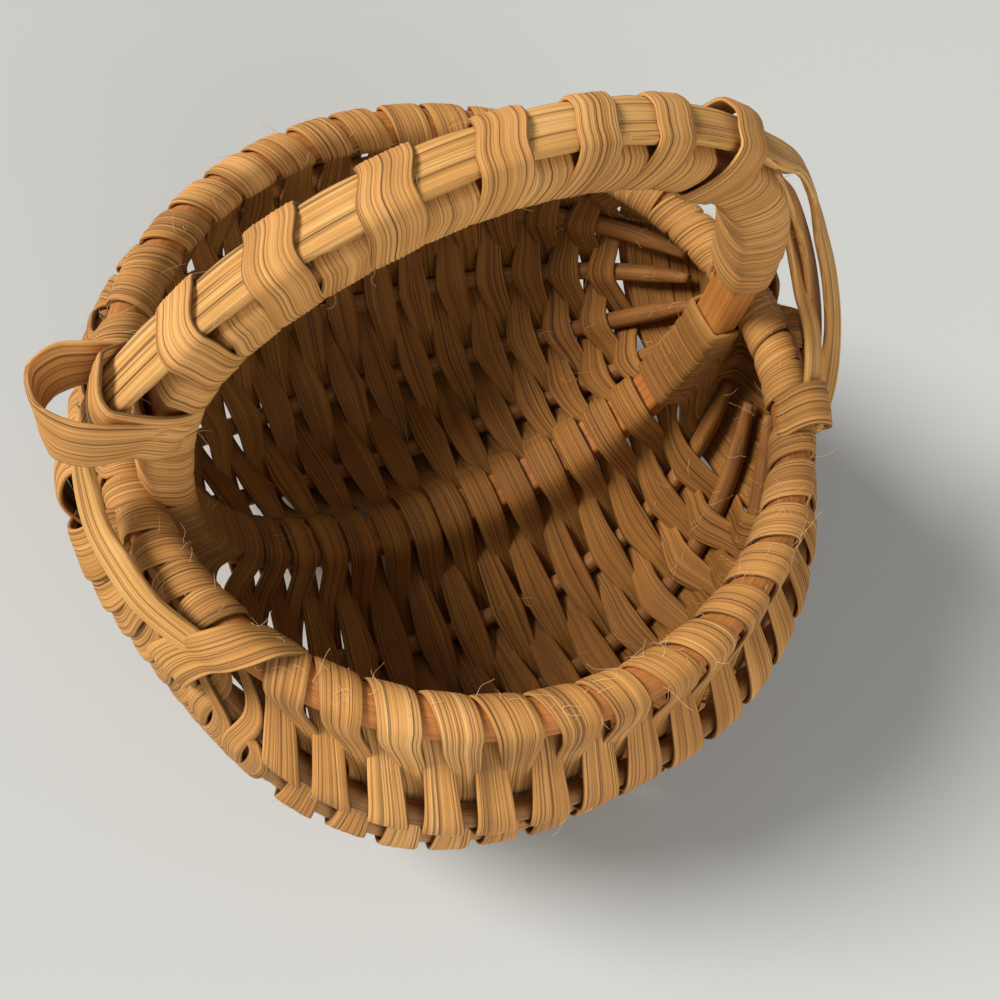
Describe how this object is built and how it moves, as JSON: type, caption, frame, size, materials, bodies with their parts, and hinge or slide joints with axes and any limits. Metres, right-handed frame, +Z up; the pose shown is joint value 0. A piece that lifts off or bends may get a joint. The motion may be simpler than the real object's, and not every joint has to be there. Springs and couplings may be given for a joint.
{
  "type": "buttocks basket",
  "caption": "Small twin-lobed basket with a fixed hoop handle, woven of flat splints on round ribs and two crossed bent hoops, with a wrapped handle and lashed ears.",
  "frame": {"origin": "on the ground under the middle of the basket's bounding box", "axes": "+Z up; X through the two ears, where the hoops cross, with the loose strands at +X; -Y is the front lobe"},
  "size_m": [0.1252, 0.1242, 0.1185],
  "materials": {
    "bent_hoop": "smooth, worn and slightly glossy brown",
    "rib_wood": "round, dry, warm brown",
    "splint": "dry, matt, with fine lengthwise ridges",
    "lashing": "dry, matt, with fine lengthwise ridges",
    "overlay_wood": "weathered, coarse grained and matt"
  },
  "bodies": {
    "root": {"rim_hoop": "bent_hoop", "handle_hoop": "bent_hoop", "handle_overlay": "overlay_wood", "overlay_strand_middle": "overlay_wood", "overlay_strand_inner": "overlay_wood", "handle_tie_loop": "splint", "handle_wrap": "splint", "ear_lashing_left": "lashing", "ear_lashing_right": "lashing", "rib_front_1": "rib_wood", "rib_back_1": "rib_wood", "rib_front_2": "rib_wood", "rib_back_2": "rib_wood", "rib_front_3": "rib_wood", "rib_back_3": "rib_wood", "rib_front_4": "rib_wood", "rib_back_4": "rib_wood", "rib_front_5": "rib_wood", "rib_back_5": "rib_wood", "weaver_1": "splint", "weaver_2": "splint", "weaver_3": "splint", "weaver_4": "splint", "weaver_5": "splint", "weaver_6": "splint", "weaver_7": "splint"}
  },
  "joints": []
}
